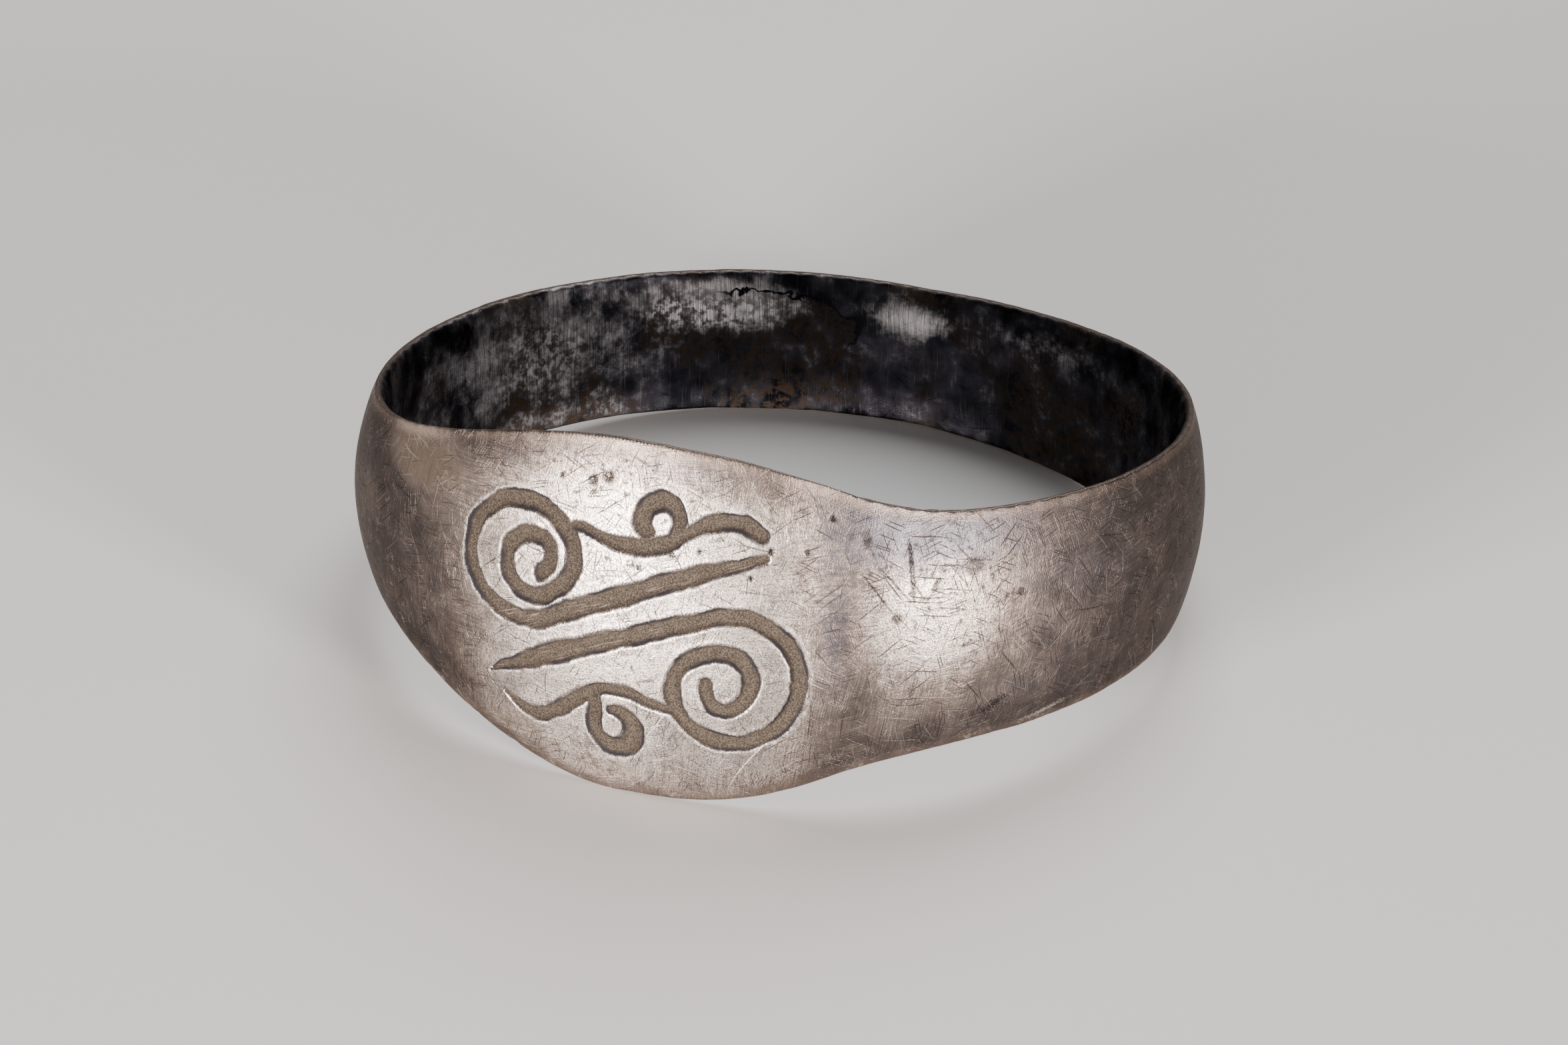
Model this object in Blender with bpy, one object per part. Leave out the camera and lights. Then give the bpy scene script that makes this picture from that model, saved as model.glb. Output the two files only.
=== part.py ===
"""An engraved silver finger ring, lying loose on its lower rim.

The ring is one piece of metal. A band of D-shaped section tapers towards the back and spreads into a leaf-shaped
bezel at the front, where two scrolls are engraved, one above the other and turned half a turn to each other.
Angles run round the hoop from the middle of the bezel, which faces -Y, and are positive towards +X.
"""

import math

import bmesh
import bpy
from mathutils import Matrix, Vector

MM = 0.001

# The hoop, seen along the finger
CROWN_DIAMETER = 21.0 * MM
OUT_OF_ROUND = 0.17 * MM
OUT_OF_ROUND_TOWARDS = math.radians(-54)
BULGE_FRONT_AND_BACK = 0.69 * MM
BULGE_SIDES = 0.39 * MM
RIM_THICKNESS = 0.34 * MM
RIM_ROUNDING = 0.12 * MM

# The band's height, all of it from rim to rim
BACK_HEIGHT = 3.8 * MM
LEFT_SHOULDER_HEIGHT = 4.1 * MM
RIGHT_SHOULDER_HEIGHT = 6.4 * MM
BEZEL_HEIGHT = 9.3 * MM
SHOULDER_TAPER = 0.65
BAND_WANDER = 0.056 * MM

# The leaf of the bezel, which reaches further on the left and is blunter on the right
LEAF_REACH_LEFT = math.radians(40)
LEAF_REACH_RIGHT = math.radians(33)
LEAF_FULLNESS_LEFT = 1.85
LEAF_FULLNESS_RIGHT = 3.05

# The three places where the lower rim touches what the ring lies on
CONTACT_ANGLES = (math.radians(1), math.radians(166), math.radians(-160))

# The engraving
GROOVE_WIDTH = 0.40 * MM
GROOVE_TIP = 1.2 * MM
STROKE_STEP = 0.34 * MM
SPIRAL_DRAWS_IN = (math.radians(245), math.radians(355))
HOOK_DEPTH = 0.48 * MM
HOOK_SWEEP = math.radians(110)
CURL_FINENESS = 0.7
TIP_SHARE = 0.3

# How finely the solid is divided
STEPS_ROUND = 150
STEPS_UP_OUTER = 12
STEPS_UP_INNER = 4
GROOVE_SIDES_RESOLUTION = 1

CROWN_RADIUS = CROWN_DIAMETER / 2


def crown_radius(angle):
    """The hoop's outer radius at mid height: a circle pressed slightly oval on a diagonal."""
    return CROWN_RADIUS + OUT_OF_ROUND * math.cos(2 * (angle - OUT_OF_ROUND_TOWARDS))


def bulge(angle):
    """How far the D section stands out beyond its own rims."""
    to_side = (1 - math.cos(2 * angle)) / 2
    return BULGE_FRONT_AND_BACK + (BULGE_SIDES - BULGE_FRONT_AND_BACK) * to_side


def leaf(angle):
    """From 1 at the bezel's widest to 0 outside it, fading softly into the hoop on each side."""
    if angle > 0:
        return math.exp(-((angle / LEAF_REACH_RIGHT) ** LEAF_FULLNESS_RIGHT))
    return math.exp(-((-angle / LEAF_REACH_LEFT) ** LEAF_FULLNESS_LEFT))


def half_height(angle):
    shoulder = RIGHT_SHOULDER_HEIGHT if angle > 0 else LEFT_SHOULDER_HEIGHT
    to_front = ((1 + math.cos(angle)) / 2) ** SHOULDER_TAPER
    hoop = BACK_HEIGHT + (shoulder - BACK_HEIGHT) * to_front
    return (hoop + (BEZEL_HEIGHT - shoulder) * leaf(angle)) / 2


def middle_height(angle):
    """The band isn't quite level with itself: its middle line rises and falls three times round the hoop."""
    return -BAND_WANDER * math.sin(3 * angle)


def band_point(angle, depth, share):
    """A point of the metal: depth from 0 inside to 1 outside, share from -1 at the lower rim to 1 at the upper."""
    inner = crown_radius(angle) - bulge(angle) - RIM_THICKNESS
    outer = crown_radius(angle) - bulge(angle) * share * share
    radius = inner + depth * (outer - inner)
    height = middle_height(angle) + share * half_height(angle)
    return Vector((radius * math.sin(angle), -radius * math.cos(angle), height))


def face_point(along, up):
    """A point on the outer face, by its distance round the hoop from the bezel's middle and its height."""
    angle = along / CROWN_RADIUS
    share = (up - middle_height(angle)) / half_height(angle)
    return band_point(angle, 1, share)


def section():
    """The closed D section as (depth, share) pairs, each rim drawn in by its rounding."""
    rounded = 1 - RIM_ROUNDING / (BACK_HEIGHT / 2)
    outer = [rounded * (2 * i / STEPS_UP_OUTER - 1) for i in range(STEPS_UP_OUTER + 1)]
    inner = [rounded * (1 - 2 * i / STEPS_UP_INNER) for i in range(STEPS_UP_INNER + 1)]
    return [(1, share) for share in outer] + [(0.5, 1)] + [(0, share) for share in inner] + [(0.5, -1)]


def silver():
    material = bpy.data.materials.new("worn_silver")
    material.use_nodes = True
    shader = material.node_tree.nodes["Principled BSDF"]
    shader.inputs["Base Color"].default_value = (0.63, 0.59, 0.56, 1)
    shader.inputs["Metallic"].default_value = 1
    shader.inputs["Roughness"].default_value = 0.35
    return material


def band(collection):
    """A plain blank ring is spun from the section, and every vertex is then moved to its place on the real band."""
    blank = bmesh.new()
    corners = [blank.verts.new((0, -1 - depth, share)) for depth, share in section()]
    edges = [blank.edges.new((a, b)) for a, b in zip(corners, corners[1:] + corners[:1])]
    bmesh.ops.spin(
        blank, geom=corners + edges, cent=(0, 0, 0), axis=(0, 0, 1), angle=math.tau, steps=STEPS_ROUND,
        use_merge=True, use_duplicate=False,
    )
    for vertex in blank.verts:
        x, y, share = vertex.co
        vertex.co = band_point(math.atan2(x, -y), math.hypot(x, y) - 1, share)
    bmesh.ops.recalc_face_normals(blank, faces=blank.faces)
    mesh = bpy.data.meshes.new("ring")
    blank.to_mesh(mesh)
    blank.free()
    mesh.materials.append(silver())
    ring = bpy.data.objects.new("ring", mesh)
    collection.objects.link(ring)
    return ring


def mix(a, b, share):
    return a + (b - a) * share


def smooth(share):
    share = min(1.0, max(0.0, share))
    return share * share * (3 - 2 * share)


def straight_stroke(start, end, bow=0.0):
    """A line on the bezel, straight or bowing a little upwards in its middle."""
    count = math.ceil(math.dist(start, end) / STROKE_STEP)
    shares = [i / count for i in range(count + 1)]
    return [(mix(start[0], end[0], t), mix(start[1], end[1], t) + 4 * bow * t * (1 - t)) for t in shares]


def angle_of_entry(start, oval):
    """The angle on an oval at which a straight line from start runs into it without a kink, turning clockwise."""
    along, up, half_width, half_height = oval
    away = Vector((along - start[0], (up - start[1]) * half_width / half_height))
    return math.atan2(away.y, away.x) + math.asin(half_width / away.length) + math.pi / 2


def scroll_stroke(start, bow, outer, inner, sweep):
    """A long line that winds up clockwise: round the outer oval, in to the inner one, and a hook at its end.

    The ovals are given as (along, up, half width, half height).
    """
    entry = angle_of_entry(start, outer)
    count = math.ceil(sweep * (outer[2] + inner[2]) / 2 / STROKE_STEP)
    loop = []
    for i in range(count + 1):
        turned = sweep * i / count
        inwards = smooth((turned - SPIRAL_DRAWS_IN[0]) / (SPIRAL_DRAWS_IN[1] - SPIRAL_DRAWS_IN[0]))
        along, up, half_width, half_height = (mix(a, b, inwards) for a, b in zip(outer, inner))
        hook = HOOK_DEPTH * smooth(1 - (sweep - turned) / HOOK_SWEEP)
        angle = entry - turned
        loop.append((along + (half_width - hook) * math.cos(angle), up + (half_height - hook) * math.sin(angle)))
    return straight_stroke(start, loop[0], bow) + loop[1:]


def wave_stroke(start, end, height, crossing):
    """A leaf-ended tail: one wave from start to end, passing its middle line at the share called crossing."""
    count = math.ceil(math.dist(start, end) / STROKE_STEP)
    power = math.log(0.5) / math.log(crossing)
    points = []
    for i in range(count + 1):
        share = i / count
        lift = height * math.sin(math.tau * share**power)
        points.append((mix(start[0], end[0], share), mix(start[1], end[1], share) + lift))
    return points


def curl_stroke(root, circle, start, sweep):
    """A small curl: a short stem from its root on the tail, then an arc of a circle (along, up, radius)."""
    along, up, radius = circle
    count = math.ceil(abs(sweep) * radius / (STROKE_STEP * CURL_FINENESS))
    angles = [start + sweep * i / count for i in range(count + 1)]
    arc = [(along + radius * math.cos(angle), up + radius * math.sin(angle)) for angle in angles]
    return straight_stroke(root, arc[0]) + arc[1:]


def upper_scroll():
    """The upper scroll's strokes: its long line runs down to the left and winds up into the spiral there."""
    line = scroll_stroke(
        start=(3.72 * MM, 2.14 * MM), bow=0.18 * MM, outer=(-2.58 * MM, 1.14 * MM, 1.65 * MM, 1.49 * MM),
        inner=(-2.26 * MM, 1.10 * MM, 0.78 * MM, 0.78 * MM), sweep=math.radians(686),
    )
    tail = wave_stroke(start=(-1.20 * MM, 2.34 * MM), end=(3.60 * MM, 2.68 * MM), height=-0.37 * MM, crossing=0.60)
    curl = curl_stroke(
        root=(1.43 * MM, 2.48 * MM), circle=(1.07 * MM, 2.85 * MM, 0.47 * MM),
        start=math.radians(-21), sweep=math.radians(241),
    )
    return {"line": line, "tail": tail, "curl": curl}


def lower_scroll():
    """The lower scroll's strokes: the same device turned half a turn, cut a little larger and less evenly."""
    line = scroll_stroke(
        start=(-3.58 * MM, -2.07 * MM), bow=0.16 * MM, outer=(3.04 * MM, -1.05 * MM, 1.65 * MM, 1.70 * MM),
        inner=(2.72 * MM, -1.10 * MM, 0.79 * MM, 0.79 * MM), sweep=math.radians(649),
    )
    tail = wave_stroke(start=(1.44 * MM, -2.00 * MM), end=(-3.12 * MM, -2.52 * MM), height=0.48 * MM, crossing=0.57)
    curl = curl_stroke(
        root=(-0.50 * MM, -1.96 * MM), circle=(0.04 * MM, -2.78 * MM, 0.52 * MM),
        start=math.radians(187), sweep=math.radians(274),
    )
    return {"line": line, "tail": tail, "curl": curl}


def groove_cutter(name, stroke, collection):
    """A round tube laid along a stroke on the face and tapered at both ends, as a closed mesh."""
    points = [face_point(along, up) for along, up in stroke]
    lengths = [0.0]
    for a, b in zip(points, points[1:]):
        lengths.append(lengths[-1] + (b - a).length)
    curve = bpy.data.curves.new(name, "CURVE")
    curve.dimensions = "3D"
    curve.bevel_depth = GROOVE_WIDTH / 2
    curve.bevel_resolution = GROOVE_SIDES_RESOLUTION
    curve.use_fill_caps = True
    spline = curve.splines.new("POLY")
    spline.points.add(len(points) - 1)
    for target, point, length in zip(spline.points, points, lengths):
        from_end = min(length, lengths[-1] - length)
        target.co = (*point, 1)
        target.radius = mix(TIP_SHARE, 1, smooth(from_end / GROOVE_TIP))
    drawn = bpy.data.objects.new(name, curve)
    collection.objects.link(drawn)
    bpy.context.view_layer.update()
    mesh = bpy.data.meshes.new_from_object(drawn.evaluated_get(bpy.context.evaluated_depsgraph_get()))
    bpy.data.objects.remove(drawn)
    welded = bmesh.new()
    welded.from_mesh(mesh)
    bmesh.ops.remove_doubles(welded, verts=welded.verts, dist=GROOVE_WIDTH / 1000)
    bmesh.ops.recalc_face_normals(welded, faces=welded.faces)
    welded.to_mesh(mesh)
    welded.free()
    cutter = bpy.data.objects.new(name, mesh)
    cutter.hide_render = True
    cutter.display_type = "WIRE"
    collection.objects.link(cutter)
    return cutter


def engrave(ring, cutters):
    for cutter in cutters:
        cut = ring.modifiers.new(cutter.name, "BOOLEAN")
        cut.operation = "DIFFERENCE"
        cut.solver = "EXACT"
        cut.object = cutter


def lying_down(ring):
    """The placing that lays the ring on its three contact points, with the middle of its box above the origin."""
    right, back, left = (band_point(angle, 0.5, -1) for angle in CONTACT_ANGLES)
    upright = (back - right).cross(left - right).normalized()
    if upright.z < 0:
        upright.negate()
    turn = upright.rotation_difference(Vector((0, 0, 1))).to_matrix().to_4x4()
    places = [turn @ vertex.co for vertex in ring.data.vertices]
    lowest = Vector(min(place[axis] for place in places) for axis in range(3))
    highest = Vector(max(place[axis] for place in places) for axis in range(3))
    middle = (lowest + highest) / 2
    return Matrix.Translation((-middle.x, -middle.y, -lowest.z)) @ turn


def new_collection(name):
    collection = bpy.data.collections.new(name)
    bpy.context.scene.collection.children.link(collection)
    return collection


def main():
    for leftover in list(bpy.data.objects):
        bpy.data.objects.remove(leftover)
    ring_parts = new_collection("finger_ring")
    helpers = new_collection("engraving_cutters")
    ring = band(ring_parts)
    cutters = []
    for scroll, strokes in (("upper", upper_scroll()), ("lower", lower_scroll())):
        for name, stroke in strokes.items():
            cutters.append(groove_cutter(f"{scroll}_{name}_cutter", stroke, helpers))
    engrave(ring, cutters)
    lying = bpy.data.objects.new("as_it_lies", None)
    ring_parts.objects.link(lying)
    lying.matrix_world = lying_down(ring)
    for piece in [ring, *cutters]:
        piece.parent = lying
    ring.data.shade_smooth()
    ring.data.set_sharp_from_angle(angle=math.radians(35))


main()
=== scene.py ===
# %% [markdown]
# A worn silver finger ring, engraved with two scrolls
#
# The real object is one piece of silver: a band that tapers to the back and spreads into a leaf-shaped bezel at the
# front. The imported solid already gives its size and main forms. This lesson makes the fine surface around it: the
# rounded grooves with their raised edges, the worn rims, the scratches, the brown deposit and the dark inside.

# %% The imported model
import math

import bpy
import numpy as np
from mathutils import Matrix, Vector, noise
from mathutils.kdtree import KDTree


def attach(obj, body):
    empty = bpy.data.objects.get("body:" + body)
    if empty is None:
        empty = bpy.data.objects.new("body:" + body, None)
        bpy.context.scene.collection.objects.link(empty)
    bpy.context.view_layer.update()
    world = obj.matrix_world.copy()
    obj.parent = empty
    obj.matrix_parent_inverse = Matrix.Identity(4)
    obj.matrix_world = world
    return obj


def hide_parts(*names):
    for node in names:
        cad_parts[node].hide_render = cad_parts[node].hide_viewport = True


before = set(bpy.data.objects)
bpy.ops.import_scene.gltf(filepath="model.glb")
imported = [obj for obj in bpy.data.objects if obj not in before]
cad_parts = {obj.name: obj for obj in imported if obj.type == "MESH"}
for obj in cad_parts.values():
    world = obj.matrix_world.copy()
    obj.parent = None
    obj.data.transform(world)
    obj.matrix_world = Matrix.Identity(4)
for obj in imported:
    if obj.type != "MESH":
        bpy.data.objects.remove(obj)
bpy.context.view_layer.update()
MM = 0.001

# %% [markdown]
# The camera comes first, because every look at the ring is seen through it. The view was measured from the
# outline of the ring: a long lens, a little over 20 cm away, 31 degrees above the table and turned 22 degrees to the
# right of the bezel. A camera looks along its own -Z with +Y up, so its turn is built from those three directions.

# %% Camera
CAMERA_PLACE = Vector((69.77, -169.61, 112.29)) * MM
CAMERA_TARGET = Vector((-1.18, 3.23, 0.0)) * MM
CAMERA_ROLL = math.radians(1.46)
FOCAL_LENGTH = 195.3
SENSOR_WIDTH = 36.0

view = (CAMERA_TARGET - CAMERA_PLACE).normalized()
level_right = view.cross(Vector((0, 0, 1))).normalized()
level_up = level_right.cross(view)
camera_right = math.cos(CAMERA_ROLL) * level_right + math.sin(CAMERA_ROLL) * level_up
camera_up = math.cos(CAMERA_ROLL) * level_up - math.sin(CAMERA_ROLL) * level_right
turn = Matrix((camera_right, camera_up, -view)).transposed()
lens = bpy.data.cameras.new("camera")
lens.lens = FOCAL_LENGTH
lens.sensor_width = SENSOR_WIDTH
lens.clip_start = 0.01
camera = bpy.data.objects.new("camera", lens)
camera.matrix_world = Matrix.Translation(CAMERA_PLACE) @ turn.to_4x4()
bpy.context.scene.collection.objects.link(camera)
bpy.context.scene.camera = camera
print("camera", round((CAMERA_PLACE - CAMERA_TARGET).length / MM), "mm away")

# %% [markdown]
# The band follows the same named sizes as the solid, so both have the same shape. A place on the band is given by
# the angle round the hoop from the middle of the bezel, by the depth in the metal, and by the share of the height.
# The functions take whole arrays, because the fine mesh has many thousand points.

# %% The band's sizes, in mm
CROWN_RADIUS = 10.5
OUT_OF_ROUND = 0.17
OUT_OF_ROUND_TOWARDS = math.radians(-54)
BULGE_FRONT_AND_BACK = 0.69
BULGE_SIDES = 0.39
RIM_THICKNESS = 0.34
RIM_ROUNDING = 0.12
BACK_HEIGHT = 3.8
LEFT_SHOULDER_HEIGHT = 4.1
RIGHT_SHOULDER_HEIGHT = 6.4
BEZEL_HEIGHT = 9.3
SHOULDER_TAPER = 0.65
BAND_WANDER = 0.056
LEAF_REACH_LEFT = math.radians(40)
LEAF_REACH_RIGHT = math.radians(33)
LEAF_FULLNESS_LEFT = 1.85
LEAF_FULLNESS_RIGHT = 3.05
CONTACT_ANGLES = np.radians([1, 166, -160])


def crown_radius(angle):
    return CROWN_RADIUS + OUT_OF_ROUND * np.cos(2 * (angle - OUT_OF_ROUND_TOWARDS))


def bulge(angle):
    to_side = (1 - np.cos(2 * angle)) / 2
    return BULGE_FRONT_AND_BACK + (BULGE_SIDES - BULGE_FRONT_AND_BACK) * to_side


def half_height(angle):
    right = angle > 0
    shoulder = np.where(right, RIGHT_SHOULDER_HEIGHT, LEFT_SHOULDER_HEIGHT)
    reach = np.where(right, LEAF_REACH_RIGHT, LEAF_REACH_LEFT)
    fullness = np.where(right, LEAF_FULLNESS_RIGHT, LEAF_FULLNESS_LEFT)
    leaf = np.exp(-((np.abs(angle) / reach) ** fullness))
    hoop = BACK_HEIGHT + (shoulder - BACK_HEIGHT) * ((1 + np.cos(angle)) / 2) ** SHOULDER_TAPER
    return (hoop + (BEZEL_HEIGHT - shoulder) * leaf) / 2


def middle_height(angle):
    return -BAND_WANDER * np.sin(3 * angle)


def band_points(angle, depth, share, outwards=0.0):
    """Points of the band in mm, standing upright round Z, moved outwards by so much."""
    inner = crown_radius(angle) - bulge(angle) - RIM_THICKNESS
    outer = crown_radius(angle) - bulge(angle) * share * share
    radius = inner + depth * (outer - inner) + outwards
    height = middle_height(angle) + share * half_height(angle)
    return np.stack([radius * np.sin(angle), -radius * np.cos(angle), height], axis=-1)


print("height at the bezel and at the back", half_height(np.array([0.0, math.pi])) * 2)

# %% [markdown]
# The ring doesn't stand level. Its lower rim touches the table at three places, one under the bezel and two at the
# back, so the plane through these three is what gets turned level.

# %% How the ring lies
right, back, left = (Vector(place) for place in band_points(CONTACT_ANGLES, 0.5, -1.0))
upright = (back - right).cross(left - right).normalized()
if upright.z < 0:
    upright.negate()
LYING = np.array(upright.rotation_difference(Vector((0, 0, 1))).to_matrix())
print("the hoop leans by", round(math.degrees(upright.angle(Vector((0, 0, 1)))), 1), "degrees")

# %% [markdown]
# A jeweller bends a flat strip round a mandrel. Here a section is spun round an axis instead, which gives the same
# closed hoop with rows and columns that are easy to find again. The circle primitive is the section. It is spun in
# two runs, because the engraved bezel needs columns 0.05 mm apart and the plain hoop doesn't. Spinning half of the
# columns and subdividing once gives the same mesh in a fraction of the time.

# %% A blank ring, spun from a circle
ROWS_OUTSIDE = 176
ROWS_ROUND_A_RIM = 10
ROWS_INSIDE = 22
ROWS = ROWS_OUTSIDE + ROWS_INSIDE + 2 * ROWS_ROUND_A_RIM
BEZEL_EDGE = math.radians(33)
COLUMNS_ON_BEZEL = 250
COLUMNS_ON_HOOP = 190
BLANK_RADIUS = 4.0
SAME_ANGLE = 1e-4
SAME_PLACE = 1e-3


def select_column(mesh, wanted):
    for vertex in mesh.vertices:
        vertex.select = abs(math.atan2(vertex.co.x, -vertex.co.y) - wanted) < SAME_ANGLE
    for edge in mesh.edges:
        edge.select = all(mesh.vertices[i].select for i in edge.vertices)


bpy.ops.object.select_all(action="DESELECT")
bpy.ops.mesh.primitive_circle_add(
    vertices=ROWS // 2, radius=1.0, location=(0, -BLANK_RADIUS, 0), rotation=(0, math.radians(90), 0)
)
ring = bpy.context.object
ring.name = "worn_ring"
bpy.ops.object.transform_apply(location=True, rotation=True, scale=True)
ring.data.transform(Matrix.Rotation(BEZEL_EDGE, 4, "Z"))
bpy.ops.object.mode_set(mode="EDIT")
bpy.ops.mesh.select_all(action="SELECT")
bpy.ops.mesh.spin(steps=COLUMNS_ON_BEZEL // 2, angle=2 * BEZEL_EDGE, center=(0, 0, 0), axis=(0, 0, 1))
bpy.ops.object.mode_set(mode="OBJECT")
select_column(ring.data, -BEZEL_EDGE)
bpy.ops.object.mode_set(mode="EDIT")
bpy.ops.mesh.spin(
    steps=COLUMNS_ON_HOOP // 2, angle=math.tau - 2 * BEZEL_EDGE, center=(0, 0, 0), axis=(0, 0, 1)
)
bpy.ops.mesh.select_all(action="SELECT")
bpy.ops.mesh.remove_doubles(threshold=SAME_PLACE)
bpy.ops.mesh.subdivide(number_cuts=1)
bpy.ops.mesh.normals_make_consistent(inside=False)
bpy.ops.object.mode_set(mode="OBJECT")
print("blank ring:", len(ring.data.vertices), "points,", len(ring.data.polygons), "faces")

# %% [markdown]
# Every point of the blank knows its angle round the hoop and its row round the section. The rows are shared out
# between the outer face, the two worn rims and the inside, and a rim is a rounded end and not a sharp edge.

# %% Each point's place on the band
RIM_SQUARENESS = 0.75

places = np.array([vertex.co for vertex in ring.data.vertices])
angle = np.arctan2(places[:, 0], -places[:, 1])
round_section = np.arctan2(places[:, 2], np.hypot(places[:, 0], places[:, 1]) - BLANK_RADIUS)
row = np.round((round_section + math.pi / 2) / math.tau * ROWS).astype(int) % ROWS

rounded_share = 1 - RIM_ROUNDING / (BACK_HEIGHT / 2)
half_rim = ROWS_ROUND_A_RIM // 2
rim_turn = np.linspace(0, math.pi, ROWS_ROUND_A_RIM + 1)
rim_depth = 0.5 + 0.5 * np.sign(np.cos(rim_turn)) * np.abs(np.cos(rim_turn)) ** RIM_SQUARENESS
rim_share = rounded_share + (1 - rounded_share) * np.sin(rim_turn) ** RIM_SQUARENESS
outer_share = np.linspace(-rounded_share, rounded_share, ROWS_OUTSIDE + 1)
inner_share = np.linspace(rounded_share, -rounded_share, ROWS_INSIDE + 1)
row_depth = np.concatenate([
    rim_depth[half_rim::-1], np.ones(ROWS_OUTSIDE - 1), rim_depth,
    np.zeros(ROWS_INSIDE - 1), rim_depth[:half_rim:-1],
])
row_share = np.concatenate([
    -rim_share[half_rim::-1], outer_share[1:-1], rim_share, inner_share[1:-1], -rim_share[:half_rim:-1],
])
depth = row_depth[row]
share = row_share[row]
along = angle * CROWN_RADIUS
up = middle_height(angle) + share * half_height(angle)
print("rows:", len(row_depth), "of", ROWS, "- points on the outer face:", int((depth == 1).sum()))

# %% [markdown]
# The two scrolls are the same device turned half a turn: a long line that winds up into a spiral, a leaf-ended tail
# and a small curl. Each stroke is drawn by a function from its own sizes, as on the solid, in mm along the hoop and
# up from its middle. Here each stroke also gets its width from end to end, as the graver swelled and tapered.

# %% The strokes of the two scrolls
STROKE_STEP = 0.04
SPIRAL_DRAWS_IN = (math.radians(245), math.radians(355))
HOOK_DEPTH = 0.48
HOOK_SWEEP = math.radians(110)


def smooth(share):
    share = np.clip(share, 0, 1)
    return share * share * (3 - 2 * share)


def steps(length):
    return np.linspace(0, 1, math.ceil(length / STROKE_STEP) + 1)


def straight_stroke(start, end, bow=0.0):
    part = steps(math.dist(start, end))
    lift = 4 * bow * part * (1 - part)
    return np.stack([start[0] + (end[0] - start[0]) * part, start[1] + (end[1] - start[1]) * part + lift], axis=1)


def scroll_stroke(start, bow, outer, inner, sweep):
    """The line and its spiral, turning clockwise. An oval is (along, up, half width, half height)."""
    away = Vector((outer[0] - start[0], (outer[1] - start[1]) * outer[2] / outer[3]))
    entry = math.atan2(away.y, away.x) + math.asin(outer[2] / away.length) + math.pi / 2
    turned = sweep * steps(sweep * (outer[2] + inner[2]) / 2)
    inwards = smooth((turned - SPIRAL_DRAWS_IN[0]) / (SPIRAL_DRAWS_IN[1] - SPIRAL_DRAWS_IN[0]))
    middle_along, middle_up, half_width, half_tall = (a + (b - a) * inwards for a, b in zip(outer, inner))
    hook = HOOK_DEPTH * smooth(1 - (sweep - turned) / HOOK_SWEEP)
    loop = np.stack([
        middle_along + (half_width - hook) * np.cos(entry - turned),
        middle_up + (half_tall - hook) * np.sin(entry - turned),
    ], axis=1)
    return np.concatenate([straight_stroke(start, loop[0], bow), loop[1:]])


def wave_stroke(start, end, height, crossing):
    line = straight_stroke(start, end)
    part = np.linspace(0, 1, len(line))
    line[:, 1] += height * np.sin(math.tau * part ** (math.log(0.5) / math.log(crossing)))
    return line


def curl_stroke(root, circle, start, sweep):
    turned = start + sweep * steps(abs(sweep) * circle[2])
    arc = np.stack([circle[0] + circle[2] * np.cos(turned), circle[1] + circle[2] * np.sin(turned)], axis=1)
    return np.concatenate([straight_stroke(root, arc[0]), arc[1:]])


STROKES = {
    "upper line": scroll_stroke((3.72, 2.14), 0.18, (-2.58, 1.14, 1.65, 1.49), (-2.26, 1.10, 0.78, 0.78),
                                math.radians(686)),
    "upper tail": wave_stroke((-1.20, 2.34), (3.60, 2.68), -0.37, 0.60),
    "upper curl": curl_stroke((1.43, 2.48), (1.07, 2.85, 0.47), math.radians(-21), math.radians(241)),
    "lower line": scroll_stroke((-3.58, -2.07), 0.16, (3.04, -1.05, 1.65, 1.70), (2.72, -1.10, 0.79, 0.79),
                                math.radians(649)),
    "lower tail": wave_stroke((1.44, -2.00), (-3.12, -2.52), 0.48, 0.57),
    "lower curl": curl_stroke((-0.50, -1.96), (0.04, -2.78, 0.52), math.radians(187), math.radians(274)),
}
# A stroke's half width at shares of its length
HALF_WIDTHS = {
    "upper line": ((0, 0.11), (0.02, 0.15), (0.06, 0.18), (0.10, 0.23), (0.20, 0.245), (0.30, 0.22), (0.50, 0.20),
                   (0.68, 0.21), (0.85, 0.20), (0.97, 0.21), (1, 0.20)),
    "upper tail": ((0, 0.10), (0.15, 0.13), (0.30, 0.20), (0.48, 0.20), (0.60, 0.12), (0.72, 0.20), (0.90, 0.23),
                   (1, 0.19)),
    "upper curl": ((0, 0.15), (0.30, 0.20), (0.60, 0.24), (0.90, 0.25), (1, 0.20)),
    "lower line": ((0, 0.03), (0.03, 0.12), (0.07, 0.22), (0.11, 0.26), (0.20, 0.23), (0.36, 0.20), (0.50, 0.21),
                   (0.62, 0.19), (0.80, 0.22), (0.94, 0.17), (1, 0.13)),
    "lower tail": ((0, 0.11), (0.20, 0.13), (0.40, 0.15), (0.60, 0.20), (0.80, 0.15), (0.92, 0.12), (1, 0.04)),
    "lower curl": ((0, 0.17), (0.30, 0.19), (0.50, 0.24), (0.70, 0.27), (0.88, 0.20), (1, 0.11)),
}
for name, stroke in STROKES.items():
    print(name, round(float(np.hypot(*np.diff(stroke, axis=0).T).sum()), 1), "mm long")

# %% [markdown]
# A groove could be cut with a boolean, which leaves ragged edges on a fine mesh, or pressed in by moving points.
# The points are moved here: each asks how far the nearest stroke is and sinks by a rounded profile. The graver also
# pushed the metal up along the groove's edges, and old dirt fills the groove to a flat floor.

# %% Distance to the strokes
ENGRAVED_REACH = 5.6
FAR_AWAY = 9.0
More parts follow.
